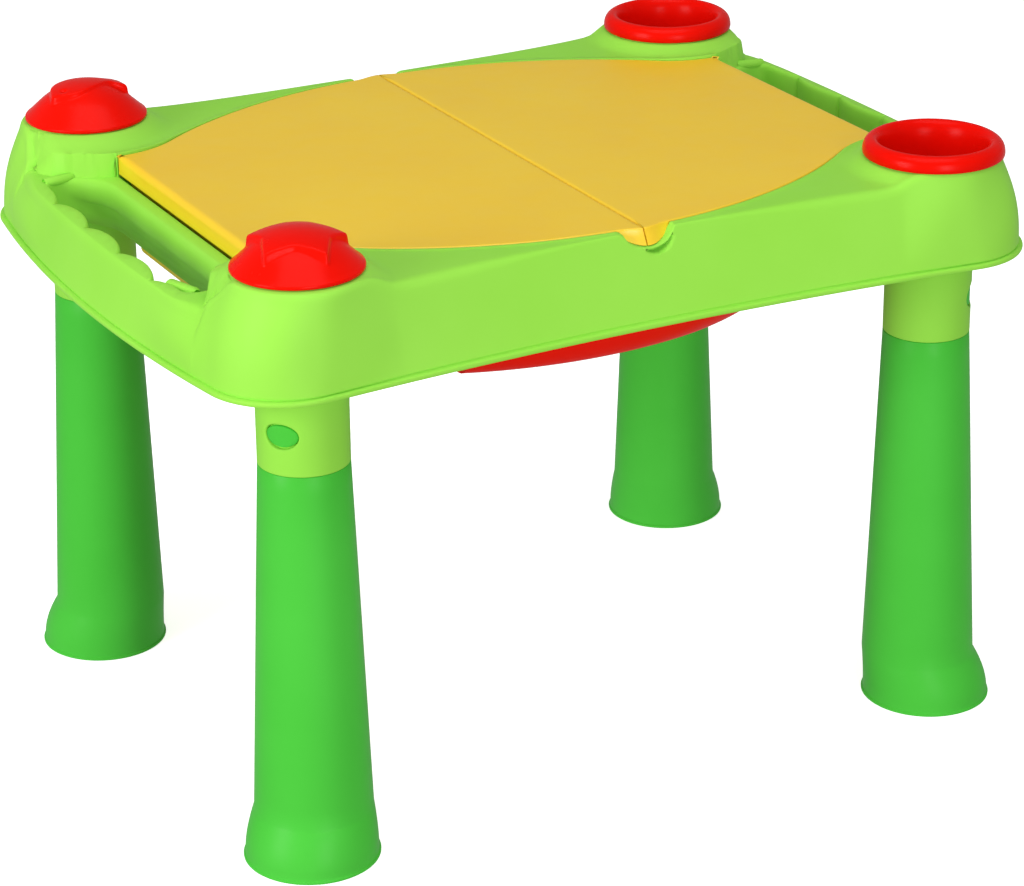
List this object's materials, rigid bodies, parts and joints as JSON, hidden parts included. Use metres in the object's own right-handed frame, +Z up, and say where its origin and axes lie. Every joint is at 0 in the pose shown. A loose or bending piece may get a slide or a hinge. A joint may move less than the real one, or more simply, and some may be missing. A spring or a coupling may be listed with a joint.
{
  "type": "sand and water table",
  "caption": "Children's sand and water play table: waisted tray on four push-in legs, two hanging tubs, two lid halves, drop-in cups, a star mould and a fish mould.",
  "frame": {"origin": "on the floor, under the middle of the table", "axes": "+X along the long side, -Y the front long side, +Z up"},
  "size_m": [0.79, 0.58, 0.5415],
  "materials": {
    "light_green_plastic": "satin moulded",
    "leg_green_plastic": "satin moulded",
    "yellow_plastic": "satin moulded",
    "tub_red_plastic": "satin moulded",
    "red_plastic": "gloss moulded"
  },
  "bodies": {
    "table": {"tray": "light_green_plastic", "leg_socket_front_left": "light_green_plastic", "leg_socket_front_right": "light_green_plastic", "leg_socket_back_left": "light_green_plastic", "leg_socket_back_right": "light_green_plastic", "leg_front_left": "leg_green_plastic", "leg_front_right": "leg_green_plastic", "leg_back_left": "leg_green_plastic", "leg_back_right": "leg_green_plastic"},
    "latch_front_left": {"leg_latch_front_left": "leg_green_plastic"},
    "latch_front_right": {"leg_latch_front_right": "leg_green_plastic"},
    "latch_back_left": {"leg_latch_back_left": "leg_green_plastic"},
    "latch_back_right": {"leg_latch_back_right": "leg_green_plastic"},
    "water_tub": {"water_tub": "tub_red_plastic"},
    "sand_tub": {"sand_tub": "yellow_plastic"},
    "lid_left": {"lid_left": "yellow_plastic"},
    "lid_right": {"lid_right": "yellow_plastic"},
    "cup_front": {"cup_front": "red_plastic"},
    "star_mould_front": {"star_mould_front": "red_plastic"},
    "cup_back": {"cup_back": "red_plastic"},
    "fish_mould_back": {"fish_mould_back": "red_plastic"}
  },
  "joints": [
    {"name": "latch_press_front_left", "type": "hinge", "parent": "table", "child": "latch_front_left", "pos_m": [-0.32047, -0.24037, 0.3545], "axis": [-0.6004, 0.7997, 0], "range_deg": [0, 7], "stiffness_Nm_per_rad": 0.6},
    {"name": "latch_press_front_right", "type": "hinge", "parent": "table", "child": "latch_front_right", "pos_m": [0.32047, -0.24037, 0.3545], "axis": [-0.6004, -0.7997, 0], "range_deg": [0, 7], "stiffness_Nm_per_rad": 0.6},
    {"name": "latch_press_back_left", "type": "hinge", "parent": "table", "child": "latch_back_left", "pos_m": [-0.32047, 0.24037, 0.3545], "axis": [0.6004, 0.7997, 0], "range_deg": [0, 7], "stiffness_Nm_per_rad": 0.6},
    {"name": "latch_press_back_right", "type": "hinge", "parent": "table", "child": "latch_back_right", "pos_m": [0.32047, 0.24037, 0.3545], "axis": [0.6004, -0.7997, 0], "range_deg": [0, 7], "stiffness_Nm_per_rad": 0.6},
    {"name": "water_tub_lift", "type": "slide", "parent": "table", "child": "water_tub", "axis": [0, 0, 1], "range_m": [0, 0.19]},
    {"name": "sand_tub_lift", "type": "slide", "parent": "water_tub", "child": "sand_tub", "axis": [0, 0, 1], "range_m": [0, 0.14]},
    {"name": "lid_left_lift", "type": "slide", "parent": "sand_tub", "child": "lid_left", "axis": [0, 0, 1], "range_m": [0, 0.1]},
    {"name": "lid_right_lift", "type": "slide", "parent": "water_tub", "child": "lid_right", "axis": [0, 0, 1], "range_m": [0, 0.1]},
    {"name": "cup_front_lift", "type": "slide", "parent": "table", "child": "cup_front", "axis": [0, 0, 1], "range_m": [0, 0.11]},
    {"name": "star_mould_front_lift", "type": "slide", "parent": "table", "child": "star_mould_front", "axis": [0, 0, 1], "range_m": [0, 0.06]},
    {"name": "cup_back_lift", "type": "slide", "parent": "table", "child": "cup_back", "axis": [0, 0, 1], "range_m": [0, 0.11]},
    {"name": "fish_mould_back_lift", "type": "slide", "parent": "table", "child": "fish_mould_back", "axis": [0, 0, 1], "range_m": [0, 0.06]}
  ]
}
